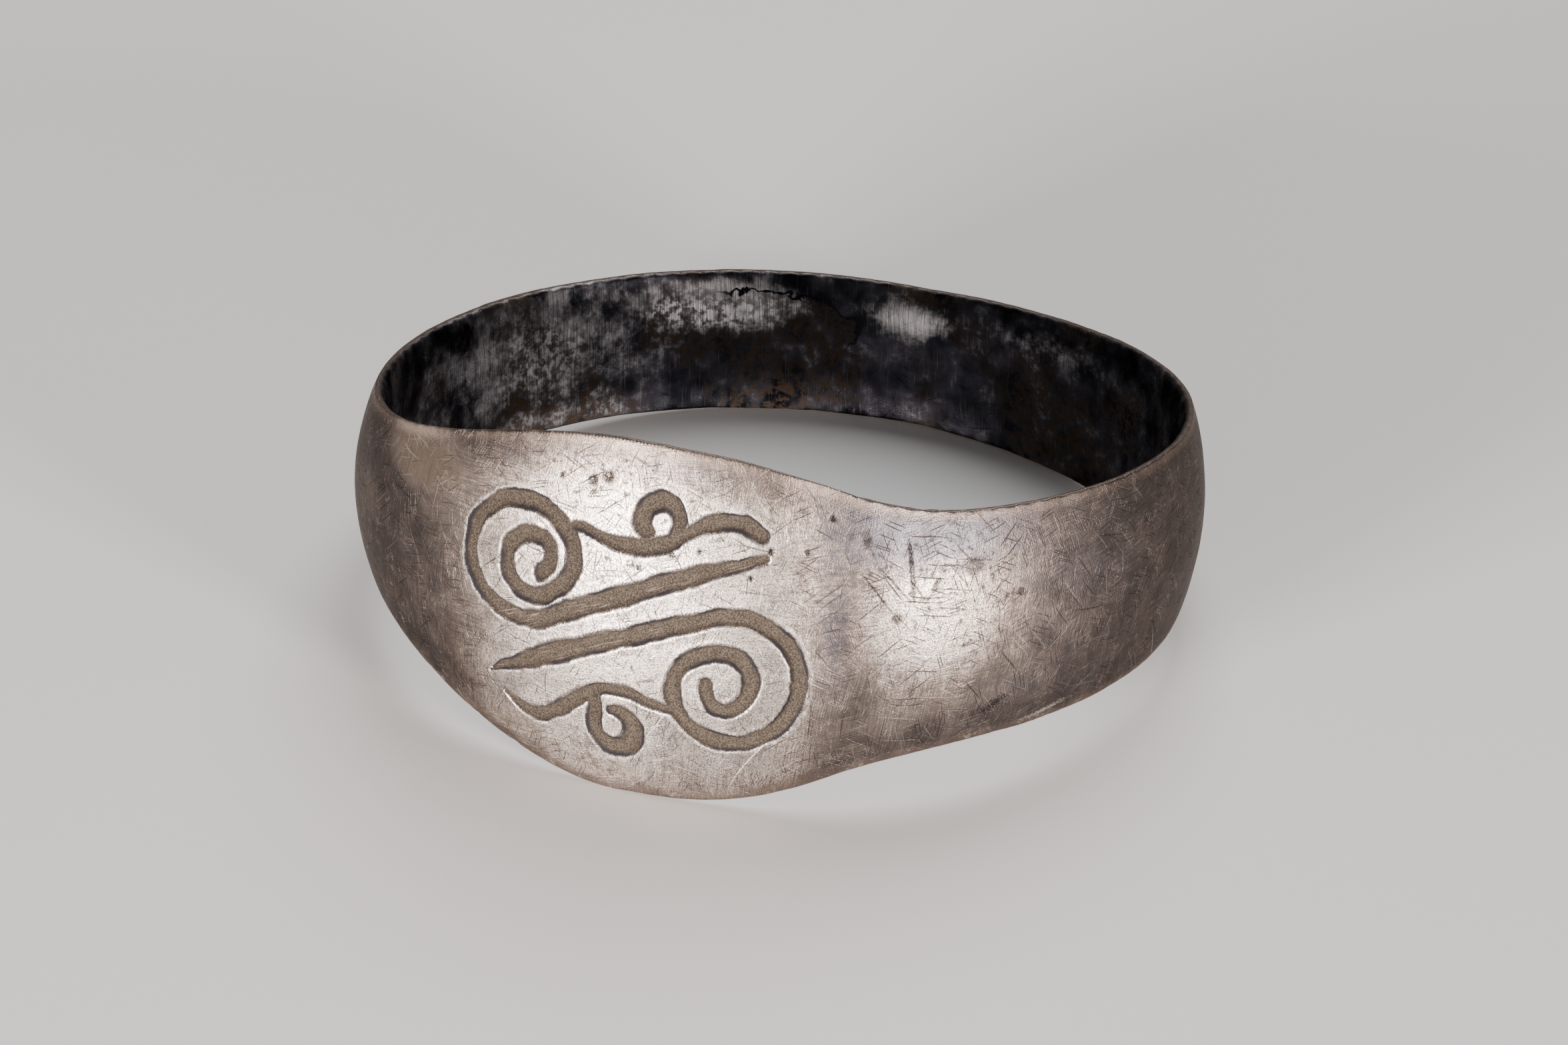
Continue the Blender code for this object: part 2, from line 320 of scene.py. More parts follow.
# The hand's unsteadiness, as (how much, over what length in mm, seed), in the width and in the path
WIDTH_WANDER = (0.15, 0.45, 3.0)
WIDTH_TREMBLE = (0.14, 0.15, 8.0)
PATH_WANDER_ALONG = (0.06, 0.6, 12.0)
PATH_WANDER_UP = (0.06, 0.6, 17.0)


def waviness(points, size, seed):
    """Smooth noise from about -1 to 1 whose bumps are about size mm across."""
    return np.array([noise.noise(Vector((a / size, b / size, c / size + seed))) for a, b, c in points])


def unevenness(points, amount, size, seed):
    return amount * waviness(points, size, seed)


face = np.stack([along, up, np.zeros_like(up)], axis=1)
near_engraving = np.flatnonzero((np.abs(along) < ENGRAVED_REACH) & (depth == 1))
engraved_face = face[near_engraving]
width_wander = unevenness(engraved_face, *WIDTH_WANDER) + unevenness(engraved_face, *WIDTH_TREMBLE)
unsteady = engraved_face.copy()
unsteady[:, 0] += unevenness(engraved_face, *PATH_WANDER_ALONG)
unsteady[:, 1] += unevenness(engraved_face, *PATH_WANDER_UP)
to_groove = np.full(len(places), FAR_AWAY)
for name, stroke in STROKES.items():
    line_points = KDTree(len(stroke))
    for i, (a, b) in enumerate(stroke):
        line_points.insert((a, b, 0), i)
    line_points.balance()
    part_of_stroke, half_widths = zip(*HALF_WIDTHS[name])
    widths = np.interp(np.linspace(0, 1, len(stroke)), part_of_stroke, half_widths)
    found = [line_points.find(point) for point in unsteady]
    distance = np.array([found_point[2] for found_point in found])
    width = widths[[found_point[1] for found_point in found]]
    to_groove[near_engraving] = np.minimum(to_groove[near_engraving], distance / width + width_wander)
print("points in the grooves:", int((to_groove < 1).sum()))

# %% [markdown]
# The profile of a groove is a flat floor of dirt, a rounded wall and a low burr beside it. Hammering and wear then
# leave the whole band a little uneven, in waves of a few mm, of one mm and of a quarter of a mm.

# %% Grooves, burrs and the surface's own unevenness
GROOVE_DEPTH = 0.115
BURR_HEIGHT = 0.015
BURR_PLACE = 1.34
BURR_SPREAD = 0.22
BURR_EVEN = 0.6
BURR_UNEVEN = (1.4, 0.35, 21.0)
GROOVE_FLOOR = 0.62
GROOVE_EDGE = 1.14
LUMPY_TO = 0.9
DEPOSIT_LUMPS = (0.010, 0.07, 31.0)
HAMMERED = (0.030, 3.2, 50.0)
DENTED = (0.012, 1.1, 60.0)
FINELY_WORN = (0.0025, 0.25, 70.0)

body_places = band_points(angle, depth, share)
floor_to_edge = smooth((to_groove - GROOVE_FLOOR) / (GROOVE_EDGE - GROOVE_FLOOR))
outwards = -GROOVE_DEPTH * (1 - floor_to_edge)
burr = np.exp(-(((to_groove - BURR_PLACE) / BURR_SPREAD) ** 2))
burr_left = np.clip(BURR_EVEN + unevenness(engraved_face, *BURR_UNEVEN), 0, None)
outwards[near_engraving] += BURR_HEIGHT * burr[near_engraving] * burr_left
in_groove = np.flatnonzero(to_groove < LUMPY_TO)
outwards[in_groove] += unevenness(face[in_groove], *DEPOSIT_LUMPS)
hammering = unevenness(body_places, *HAMMERED) + unevenness(body_places, *DENTED)
outwards += hammering + unevenness(body_places, *FINELY_WORN)
print("deepest", round(float(outwards.min()), 3), "mm, highest", round(float(outwards.max()), 3), "mm")

# %% [markdown]
# Wear has a place. The rims were rubbed against the finger and knocked, the face has a few round pits, and there is
# a hollow where the bezel runs out into the right shoulder. Each is a named spot, sunk softly.

# %% Pits, nicks and the hollow beside the bezel
# Each pit is (along, up, radius, depth)
PITS = (
    (-0.86, 3.52, 0.19, 0.035), (-0.45, 3.67, 0.21, 0.040), (3.84, 2.31, 0.13, 0.035), (4.75, 2.29, 0.10, 0.030),
    (3.39, 1.65, 0.10, 0.025), (5.38, 3.09, 0.10, 0.030), (1.41, 2.04, 0.11, 0.020), (-1.75, 3.45, 0.10, 0.020),
    (0.60, 1.62, 0.10, 0.020), (2.10, 2.20, 0.09, 0.018),
)
PIT_SLOPE = 1.2
PIT_STAIN = 1.35
HOLLOW_ALONG = 5.55
HOLLOW_LEAN = 0.10
HOLLOW_HALF_WIDTH = 0.95
HOLLOW_DEPTH = 0.095
FLARE_SHARE = 0.42
FLARE_DEPTH = 0.13
OUTSIDE_FROM = 0.4
INSIDE_FOLLOWS = 0.35
RIM_WEAR = 0.022
RIM_WEAR_INWARDS = 0.06
RIM_WEAR_FADE = 0.10
RIM_WAVES = (1.0, 1.5, 90.0)
RIM_RIPPLES = (0.4, 0.4, 91.0)
RIM_NICKS = 0.09
NICKS = (0.22, 95.0)
NICK_RARITY = 0.20
KNOCKED_STRETCHES = (1.6, 2.3, 93.0)

pitted = np.zeros(len(places))
for pit_along, pit_up, radius, sunk in PITS:
    from_pit = np.hypot(along - pit_along, up - pit_up) / radius
    outwards -= np.where(depth == 1, sunk * (1 - smooth(from_pit / PIT_SLOPE)), 0)
    pitted = np.maximum(pitted, 1 - smooth(from_pit / PIT_STAIN))
from_hollow = (along - HOLLOW_ALONG + HOLLOW_LEAN * up) / HOLLOW_HALF_WIDTH
outwards -= np.where(depth > OUTSIDE_FROM, HOLLOW_DEPTH * np.exp(-(from_hollow**2)), 0)

flare = smooth((share - (1 - FLARE_SHARE)) / FLARE_SHARE) * (1 - depth)
outwards += FLARE_DEPTH / INSIDE_FOLLOWS * flare
at_rim = smooth((np.abs(share) - rounded_share + RIM_WEAR_INWARDS) / RIM_WEAR_FADE)
rim_noise = unevenness(body_places, *RIM_WAVES) + unevenness(body_places, *RIM_RIPPLES)
knocked = smooth(unevenness(body_places, *KNOCKED_STRETCHES))
nick = np.clip(waviness(body_places, *NICKS) - NICK_RARITY, 0, None) * knocked
sideways = -np.sign(share) * at_rim * (RIM_WEAR * (1 + rim_noise) + RIM_NICKS * nick)
print("pits", len(PITS), "- points on the rims", int((at_rim > 0.5).sum()))

# %% [markdown]
# All of this was only a distance outwards for each point. Now the points take their places: the band is shaped,
# tipped to the way it lies, and set down so that its box is centred as the solid's is. The rims also wear sideways,
# and the inside follows the outside's unevenness only in part.

# %% The points go to their places
shaped = band_points(angle, depth, share, outwards * (INSIDE_FOLLOWS + (1 - INSIDE_FOLLOWS) * depth))
shaped[:, 2] += sideways
shaped = shaped @ LYING.T
plain = band_points(angle, depth, share) @ LYING.T
shaped[:, :2] -= (plain[:, :2].min(axis=0) + plain[:, :2].max(axis=0)) / 2
shaped[:, 2] -= shaped[:, 2].min()
ring.data.vertices.foreach_set("co", (shaped * MM).ravel())
ring.data.update()
print("the worn ring in mm", (shaped.max(axis=0) - shaped.min(axis=0)).round(2))

# %% [markdown]
# Dirt and wear aren't spread at random. Soil stayed in a few hollows, tarnish together with painted shade lies in the
# valley, along the upper edge and on top of the right shoulder, and the inside is rubbed bare in some places and
# carries painted highlights near the top of the back. Each such patch is a soft oval, placed one by one.

# %% Patches of soil, tarnish, bare metal and painted light
# Each patch of soil is (along, up, half width, half height, strength)
SOIL_PATCHES = (
    (-6.6, 2.5, 2.4, 1.0, 1.0), (-5.6, 1.6, 1.2, 0.8, 0.5), (4.3, 2.0, 0.8, 1.0, 0.55), (-2.8, -3.3, 1.6, 0.5, 0.8),
    (-0.4, -3.9, 1.8, 0.5, 0.7), (4.6, 0.6, 0.7, 0.6, 0.35), (9.5, -1.8, 2.0, 0.6, 0.4), (6.6, -2.3, 1.6, 0.6, 0.4),
    (-9.5, 0.5, 2.0, 1.4, 0.4), (28.0, 0.6, 5.0, 1.0, 0.6), (20.0, -0.8, 3.0, 0.9, 0.4), (-20.0, 0.4, 4.0, 0.9, 0.6),
)
# Each place rubbed bare or given a painted highlight inside, and each place of tarnish with painted shade outside,
# is (along, up, half width, half height, strength)
INNER_BARE_AND_HIGHLIGHT_PATCHES = (
    (-26.9, 1.08, 2.3, 0.62, 1.7), (-32.6, 1.05, 1.3, 0.50, 1.0), (-26.0, 1.42, 3.6, 0.24, 0.62),
    (28.6, 1.20, 2.4, 0.40, 0.40), (-20.8, 0.40, 4.2, 1.90, 0.50), (-21.5, -1.5, 2.5, 0.5, 0.34),
)
# Tarnish together with painted shade: on top of the right shoulder, in the valley and along the upper edge
TARNISH_AND_SHADE_PATCHES = (
    (7.8, 2.6, 3.0, 1.1, 1.1), (5.5, 0.2, 0.55, 2.4, 0.55), (-9.6, 1.6, 1.2, 0.9, 0.6), (1.0, 4.1, 3.0, 0.5, 0.5),
    (12.6, 1.0, 1.6, 0.9, 0.4), (10.6, -1.6, 1.5, 0.7, 0.35),
)
HALF_ROUND = math.pi * CROWN_RADIUS
PATCH_FADE = 1.55


def patches(places_and_sizes):
    """How strongly each point lies in one of the soft oval patches."""
    strongest = np.zeros(len(places))
    for patch_along, patch_up, half_wide, half_tall, strength in places_and_sizes:
        way_round = (along - patch_along + HALF_ROUND) % (2 * HALF_ROUND) - HALF_ROUND
        from_patch = np.hypot(way_round / half_wide, (up - patch_up) / half_tall)
        strongest = np.maximum(strongest, strength * (1 - smooth(from_patch / PATCH_FADE)))
    return strongest


print("patches:", len(SOIL_PATCHES) + len(INNER_BARE_AND_HIGHLIGHT_PATCHES) + len(TARNISH_AND_SHADE_PATCHES))

# %% [markdown]
# The finishes need to know where they are: in a groove, on a rim, inside the hoop, or in a patch of soil. Each is
# written to the mesh as a number on every point, where the material can read it. One of them says how bright a place
# is, from wear together with painted light: the whole bezel and an oval on the right shoulder carry painted
# highlights, and painted shade darkens them towards the rims and in the hollow.

# %% What the material can read
# The bright bezel and the bright oval on the right shoulder are rubbed wear together with painted highlights
BRIGHT_BEZEL_ALONG = 0.8
BRIGHT_BEZEL_HALF_LENGTH = 2.0
BRIGHT_BEZEL_FADE = 5.4
BRIGHT_SHOULDER_PLACE = (7.6, 0.3)
BRIGHT_SHOULDER_HALF_SIZE = (2.2, 1.9)
BRIGHT_SHOULDER_STRENGTH = 0.95
# Painted shade towards the rims, stronger at the upper one
SHADE_TOWARDS_UPPER_RIM = 0.85
SHADE_TOWARDS_LOWER_RIM = 0.45
SHADE_TOWARDS_RIMS_FROM = 0.55
# Painted shade in the hollow between the bezel and the right shoulder
HOLLOW_SHADE = 0.55
INSIDE_FADE = (0.05, 0.40)
GROOVE_READING_MOST = 3.0

# Painted highlights over rubbed wear: the middle of the bezel and an oval on the right shoulder
bright_bezel = 1 - smooth((np.abs(along - BRIGHT_BEZEL_ALONG) - BRIGHT_BEZEL_HALF_LENGTH) / BRIGHT_BEZEL_FADE)
shoulder_along = (along - BRIGHT_SHOULDER_PLACE[0]) / BRIGHT_SHOULDER_HALF_SIZE[0]
shoulder_up = (up - BRIGHT_SHOULDER_PLACE[1]) / BRIGHT_SHOULDER_HALF_SIZE[1]
bright_shoulder = BRIGHT_SHOULDER_STRENGTH * np.exp(-(shoulder_along**2) - shoulder_up**2)
# Painted shade that darkens the face towards its rims
painted_shade_towards_rims = np.where(share > 0, SHADE_TOWARDS_UPPER_RIM, SHADE_TOWARDS_LOWER_RIM)
painted_shade_towards_rims = painted_shade_towards_rims * smooth((np.abs(share) - SHADE_TOWARDS_RIMS_FROM) / (1 - SHADE_TOWARDS_RIMS_FROM))
# Painted shade in the hollow
painted_hollow_shade = HOLLOW_SHADE * np.exp(-(from_hollow**2))
# Rubbed wear together with painted highlights and painted shade
wear_and_painted_light = np.maximum(bright_bezel, bright_shoulder) * (1 - painted_shade_towards_rims) * (1 - painted_hollow_shade)
outside = depth > OUTSIDE_FROM
readings = {
    "to_groove": np.minimum(to_groove, GROOVE_READING_MOST),
    "pitted": np.where(depth == 1, pitted, 0),
    "wear_and_painted_light": np.where(outside, wear_and_painted_light, patches(INNER_BARE_AND_HIGHLIGHT_PATCHES)),
    "inside": 1 - smooth((depth - INSIDE_FADE[0]) / (INSIDE_FADE[1] - INSIDE_FADE[0])),
    "rim": at_rim,
    "soil": np.where(outside, patches(SOIL_PATCHES), 0),
    "tarnish_and_shade": np.where(outside, patches(TARNISH_AND_SHADE_PATCHES), 0),
}
for name, values in readings.items():
    layer = ring.data.attributes.new(name, "FLOAT", "POINT")
    layer.data.foreach_set("value", values.astype(np.float32))
print("readings:", ", ".join(readings))

# %% [markdown]
# Scratches have to run straight along the face or across it, and for that it is unrolled: the map is the band cut
# open at the back and laid flat, one unit for 100 mm, with the inside above the outside. A face that crosses the cut
# would be smeared over the whole map, so its low side is moved round once.

# %% The unrolled map
MAP_SCALE = 0.01
MAP_INSIDE_SHIFT = 0.2
MAP_CENTRE = 0.5
INSIDE_BELOW = 0.5

loops = np.zeros(len(ring.data.loops), dtype=np.int32)
ring.data.loops.foreach_get("vertex_index", loops)
loop_along = along[loops].reshape(-1, 4)
across_seam = loop_along.max(axis=1) - loop_along.min(axis=1) > CROWN_RADIUS
loop_along[across_seam] = np.where(
    loop_along[across_seam] < 0, loop_along[across_seam] + math.tau * CROWN_RADIUS, loop_along[across_seam]
)
loop_up = up[loops] * MAP_SCALE + np.where(depth[loops] < INSIDE_BELOW, MAP_INSIDE_SHIFT, 0)
map_places = np.stack([loop_along.ravel() * MAP_SCALE + MAP_CENTRE, loop_up + MAP_CENTRE], axis=1)
unrolled = ring.data.uv_layers.new(name="unrolled")
unrolled.data.foreach_set("uv", map_places.ravel())
print("the map holds", len(unrolled.data), "corners")

# %% [markdown]
# Worn silver isn't one finish. Bare metal with short scratches in every direction covers the face, a thin brown film
# lies in the hollows, the grooves hold a dry grey-brown deposit, and the inside is dark with tarnish. One material
# mixes these by the readings, so that the borders are as soft or as ragged as on the ring. Below, a border is a pair
# of values between which a finish fades in, and a zone is the same for the large patches in which it occurs at all.

# %% Helpers for shader nodes
silver = bpy.data.materials.new("worn_silver_finish")
silver.use_nodes = True
tree = silver.node_tree
shader = tree.nodes["Principled BSDF"]


def add(kind, inputs=(), **settings):
    """A new node. Inputs are (socket name or number, value or another node's socket)."""
    made = tree.nodes.new(kind)
    for setting, value in settings.items():
        setattr(made, setting, value)
    for socket, value in inputs:
        if isinstance(value, bpy.types.NodeSocket):
            tree.links.new(value, made.inputs[socket])
        else:
            made.inputs[socket].default_value = value
    return made


def calculate(operation, *values):
    return add("ShaderNodeMath", list(enumerate(values)), operation=operation).outputs[0]


def times(first, second):
    return calculate("MULTIPLY", first, second)


def ramp(value, low, high, to_low=0.0, to_high=1.0):
    """A soft step from to_low to to_high while value goes from low to high."""
    sockets = (("Value", value), ("From Min", low), ("From Max", high), ("To Min", to_low), ("To Max", to_high))
    return add("ShaderNodeMapRange", sockets, interpolation_type="SMOOTHSTEP").outputs[0]


def scattered(value, pattern, amount, span=(0.25, 0.75)):
    """A value made uneven: less by amount where the pattern is at the span's start, more by amount at its end."""
    return calculate("ADD", value, ramp(pattern, *span, -amount, amount))


def reading(name):
    return add("ShaderNodeAttribute", attribute_name=name).outputs["Fac"]


def mixed(share_socket, first, second):
    sockets = (("Factor", share_socket), (6, first), (7, second))
    return add("ShaderNodeMix", sockets, data_type="RGBA").outputs[2]


def grain(coordinates, per_mm, detail=3.0, roughness=0.55):
    sockets = (("Vector", coordinates), ("Scale", per_mm), ("Detail", detail), ("Roughness", roughness))
    return add("ShaderNodeTexNoise", sockets).outputs["Fac"]


def scaled(vector, factor):
    return add("ShaderNodeVectorMath", ((0, vector), (3, factor)), operation="SCALE").outputs[0]


place = scaled(add("ShaderNodeTexCoord").outputs["Object"], 1 / MM)
unrolled_place = scaled(add("ShaderNodeUVMap", uv_map="unrolled").outputs[0], 1 / MAP_SCALE)
to_groove_here = reading("to_groove")
inside = reading("inside")
rim = reading("rim")
soil_here = reading("soil")
print("helpers ready, coordinates in mm")

# %% [markdown]
# A scratch is short and straight and lies at random. A Voronoi pattern has one random point in every cell, so when
# the pattern is stretched, the near surroundings of each point become one thin scratch. Several such patterns at
# different angles, each bent a little by noise, give the criss-cross of an object that was carried for years.

# %% Scratches
# Each layer is (angle in degrees, length, width, distance between scratches, share of them that show)
SCRATCH_LAYERS = (
    (17, 0.60, 0.026, 0.070, 0.85), (64, 0.50, 0.025, 0.068, 0.85), (108, 0.60, 0.026, 0.070, 0.85),
    (155, 0.60, 0.026, 0.070, 0.85), (38, 1.00, 0.042, 0.16, 0.65), (86, 0.90, 0.040, 0.16, 0.65),
    (129, 1.00, 0.042, 0.16, 0.65), (172, 1.20, 0.038, 0.16, 0.65), (57, 2.4, 0.042, 0.42, 0.5),
    (120, 2.8, 0.040, 0.46, 0.5),
)
SCRATCH_BORDER = (0.54, 0.26)
LAYER_SHIFT = (1.7, 2.3)
LIGHT_FROM = 0.62
SHORT_SCRATCH = 1.3
SHORT_SCRATCH_LIGHT = 0.38
BENDING = 0.22
BENDS_PER_MM = 0.7

bend_sockets = (("Vector", unrolled_place), ("Scale", BENDS_PER_MM), ("Detail", 1.0))
bend = add("ShaderNodeTexNoise", bend_sockets).outputs["Color"]
bend = add("ShaderNodeVectorMath", ((0, bend), (1, (0.5, 0.5, 0.5))), operation="SUBTRACT").outputs[0]
bent_place = add(
    "ShaderNodeVectorMath", ((0, unrolled_place), (1, scaled(bend, BENDING))), operation="ADD"
).outputs[0]
dark_scratches = 0.0
light_scratches = 0.0
for number, (degrees, length, width, spacing, shown) in enumerate(SCRATCH_LAYERS):
    stretch = length / width * spacing
    sockets = (
        ("Vector", bent_place), ("Location", (LAYER_SHIFT[0] * number, LAYER_SHIFT[1] * number, 0)),
        ("Rotation", (0, 0, math.radians(degrees))), ("Scale", (stretch, spacing, 1)),
    )
    turned_place = add("ShaderNodeMapping", sockets, vector_type="TEXTURE").outputs[0]
    cells = add("ShaderNodeTexVoronoi", (("Vector", turned_place), ("Scale", 1.0)), voronoi_dimensions="2D")
    border = [width / spacing * part for part in SCRATCH_BORDER]
    mark = ramp(cells.outputs["Distance"], *border)
    chance = add("ShaderNodeSeparateColor", (("Color", cells.outputs["Color"]),))
    mark = times(mark, ramp(chance.outputs[0], 1 - shown, 1.0))
    is_light = calculate("GREATER_THAN", chance.outputs[1], LIGHT_FROM)
    light_mark = times(mark, is_light)
    light_share = SHORT_SCRATCH_LIGHT if length < SHORT_SCRATCH else 1.0
    light_scratches = calculate("MAXIMUM", times(light_mark, light_share), light_scratches)
    dark_scratches = calculate("MAXIMUM", calculate("SUBTRACT", mark, light_mark), dark_scratches)
scratches = calculate("MAXIMUM", light_scratches, dark_scratches)
print("scratch layers", len(SCRATCH_LAYERS))

# %% [markdown]
# Brushing differs from scratches: it keeps one direction for a stretch, like the lines that a cloth with grit leaves.
# A noise stretched thirty times gives it, along the hoop in some zones and upright in others. Four plain noises, from
# broad to fine, break up every border and tone, as no patina is even.

# %% Brushing and patina's unevenness
# Each brushing is (angle in degrees, length, width)
ALONG_BRUSHING = (4, 1.1, 0.034)
UPRIGHT_BRUSHING = (84, 1.0, 0.032)
ZONES_PER_MM = 0.22
ZONE_BORDER = (0.42, 0.60)
BROAD_PER_MM = 0.35
CLOUDY_PER_MM = 1.3
MOTTLED_PER_MM = 5.0
SPECKLED_PER_MM = 26.0
SMALL_PIT_BORDER = (0.66, 0.72)


def brushed(degrees, length, width):
    sockets = (
        ("Vector", bent_place), ("Rotation", (0, 0, math.radians(degrees))), ("Scale", (length, width, 1)),
    )
    turned_place = add("ShaderNodeMapping", sockets, vector_type="TEXTURE").outputs[0]
    return grain(turned_place, 1.0, detail=2.0)


brushing_zone = ramp(grain(unrolled_place, ZONES_PER_MM, detail=1.0), *ZONE_BORDER)
brushing = add("ShaderNodeMix", (
    ("Factor", brushing_zone), (2, brushed(*ALONG_BRUSHING)), (3, brushed(*UPRIGHT_BRUSHING)),
)).outputs[0]
broad = grain(place, BROAD_PER_MM, detail=2.0)
cloudy = grain(place, CLOUDY_PER_MM, detail=2.0)
mottled = grain(place, MOTTLED_PER_MM, detail=3.0, roughness=0.7)
speckled = grain(place, SPECKLED_PER_MM, detail=2.0, roughness=0.7)
small_pits = ramp(mottled, *SMALL_PIT_BORDER)
print("brushing and grain ready")

# %% [markdown]
# A groove shows four things from its middle outwards: the dry deposit, a painted line of shade at its edge, a burr
# that was rubbed bright, and plain metal. The reading is 1 at the groove's edge, so each is a band of that reading,
# made ragged by the finest noise. In the long straight lines the graver's streaks show through the deposit.

# %% Deposit, painted edge shade and burr of a groove
GROOVE_LINE_ANGLE = 23
MAP_MIDDLE = (MAP_CENTRE / MAP_SCALE, MAP_CENTRE / MAP_SCALE, 0)
RAGGEDNESS = 0.13
RAGGED_SPAN = (0.2, 0.8)
DEPOSIT_BORDER = (1.13, 0.99)
EDGE_INNER_BORDER = (0.66, 0.98)
EDGE_OUTER_BORDER = (1.27, 1.13)
BURR_INNER_BORDER = (1.18, 1.30)
BURR_OUTER_BORDER = (1.90, 1.40)
STREAK_SIZE = (0.8, 0.035)
STREAK_BORDER = (0.55, 0.68)
STREAK_ZONES_PER_MM = 0.8
STREAK_ZONE = (0.45, 0.60)
LINES_BORDER = (1.0, 0.8)

ragged = scattered(to_groove_here, speckled, RAGGEDNESS, RAGGED_SPAN)
deposit = ramp(ragged, *DEPOSIT_BORDER)
# Painted shade along the edge of a groove
edge = times(ramp(ragged, *EDGE_INNER_BORDER), ramp(ragged, *EDGE_OUTER_BORDER))
burr_here = times(ramp(ragged, *BURR_INNER_BORDER), ramp(ragged, *BURR_OUTER_BORDER))
line_place = add("ShaderNodeMapping", (
    ("Vector", unrolled_place), ("Location", MAP_MIDDLE), ("Rotation", (0, 0, math.radians(GROOVE_LINE_ANGLE))),
), vector_type="TEXTURE").outputs[0]
across_lines = calculate("ABSOLUTE", add("ShaderNodeSeparateXYZ", ((0, line_place),)).outputs[1])
streak_zone = ramp(grain(place, STREAK_ZONES_PER_MM, detail=1.0), *STREAK_ZONE)
streak_zone = times(streak_zone, ramp(across_lines, *LINES_BORDER))
streaks = times(ramp(brushed(GROOVE_LINE_ANGLE, *STREAK_SIZE), *STREAK_BORDER), streak_zone)
print("groove masks ready")

# %% [markdown]
# A few marks of the hoop are known one by one, and out there the mesh is too coarse for them. Each is a stretched
# spot on the unrolled map, with its own place, size and lean.

# %% Marks in known places
# Each is (along, up, half length, half width, lean in degrees, how ragged)
DARK_MARKS = (
    (7.42, 1.74, 0.62, 0.055, 94, 0.5), (6.30, 2.52, 0.13, 0.09, 60, 0.6), (8.05, 1.38, 0.16, 0.06, 60, 0.5),
    (9.10, 1.75, 0.22, 0.16, 10, 0.9), (7.05, 0.62, 0.12, 0.10, 0, 0.6), (10.4, 0.90, 0.10, 0.07, 30, 0.6),
    (6.55, 1.25, 0.50, 0.022, -52, 0.8), (7.00, 1.45, 0.45, 0.020, -48, 0.8), (9.90, -2.05, 0.30, 0.10, 25, 0.9),
)
LIGHT_MARKS = ((11.6, -2.62, 0.62, 0.055, 12, 0.8),)
MARK_BORDER = (1.15, 0.75)
MARK_SPAN = (0.3, 0.7)


def marks_in(marks):
    """One mask that shows all of these marks, each an oval with a ragged border."""
    mask = 0.0
    for mark_along, mark_up, half_length, half_width, lean, raggedness in marks:
        sockets = (
            ("Vector", unrolled_place), ("Location", (mark_along + MAP_MIDDLE[0], mark_up + MAP_MIDDLE[1], 0)),
            ("Rotation", (0, 0, math.radians(lean))), ("Scale", (half_length, half_width, 1)),
        )
        spot_place = add("ShaderNodeMapping", sockets, vector_type="TEXTURE").outputs[0]
        reach = add("ShaderNodeVectorMath", ((0, spot_place),), operation="LENGTH").outputs["Value"]
        reach = scattered(reach, speckled, raggedness, MARK_SPAN)
        mask = calculate("MAXIMUM", ramp(reach, *MARK_BORDER), mask)
    return mask


dark_marks = marks_in(DARK_MARKS)
light_marks = marks_in(LIGHT_MARKS)
print("marks in known places:", len(DARK_MARKS) + len(LIGHT_MARKS))

# %% [markdown]
# The silver itself runs from bright, where it was rubbed and where highlights are painted, over warm to grey, where
# shade is painted. Brushing and fine specks of tarnish keep even the brightest place from being plain, and bluish
# tarnish lies in spots, and bluish tarnish with painted shade in the known patches.

# %% Colours of the silver
BRIGHT_SILVER = (0.56, 0.485, 0.435, 1)
WARM_SILVER = (0.235, 0.180, 0.150, 1)
GREY_SILVER = (0.071, 0.0595, 0.056, 1)
# Bluish tarnish, also used as painted shade in the known patches
BLUE_TARNISH_AND_SHADE = (0.060, 0.060, 0.072, 1)
UNEVEN_BY_MOTTLING = -0.15
UNEVEN_BY_CLOUDS = 0.06
UNEVEN_BY_BRUSHING = -0.12
NARROW_SPAN = (0.35, 0.65)
WARM_BORDER = (-0.1, 0.55)
BRIGHT_BORDER = (0.25, 1.0)
BRUSHING_BORDER = (0.48, 0.60)
BRUSHING_STRENGTH = 0.30
SPECKS_BORDER = (0.45, 0.59)
SPECKS_STRENGTH = 0.84
SPOTS_BORDER = (0.54, 0.66)
SPOTS_ZONE = (0.42, 0.58)
SPOTS_STRENGTH = 0.65
TARNISH_AND_SHADE_BORDER = (0.1, 0.9)
TARNISH_AND_SHADE_UNEVEN = 0.25
TARNISH_AND_SHADE_STRENGTH = 0.75

# This reading is rubbed wear together with painted highlights and painted shade
wear_and_light_here = reading("wear_and_painted_light")
wear_and_painted_light = scattered(wear_and_light_here, mottled, UNEVEN_BY_MOTTLING)
wear_and_painted_light = scattered(wear_and_painted_light, cloudy, UNEVEN_BY_CLOUDS)
wear_and_painted_light = scattered(wear_and_painted_light, brushing, UNEVEN_BY_BRUSHING, NARROW_SPAN)
metal = mixed(ramp(wear_and_painted_light, *WARM_BORDER), GREY_SILVER, WARM_SILVER)
metal = mixed(ramp(wear_and_painted_light, *BRIGHT_BORDER), metal, BRIGHT_SILVER)
metal = mixed(ramp(brushing, *BRUSHING_BORDER, 0.0, BRUSHING_STRENGTH), metal, GREY_SILVER)
metal = mixed(ramp(speckled, *SPECKS_BORDER, 0.0, SPECKS_STRENGTH), metal, GREY_SILVER)
tarnish_spots = times(ramp(mottled, *SPOTS_BORDER), ramp(broad, *SPOTS_ZONE))
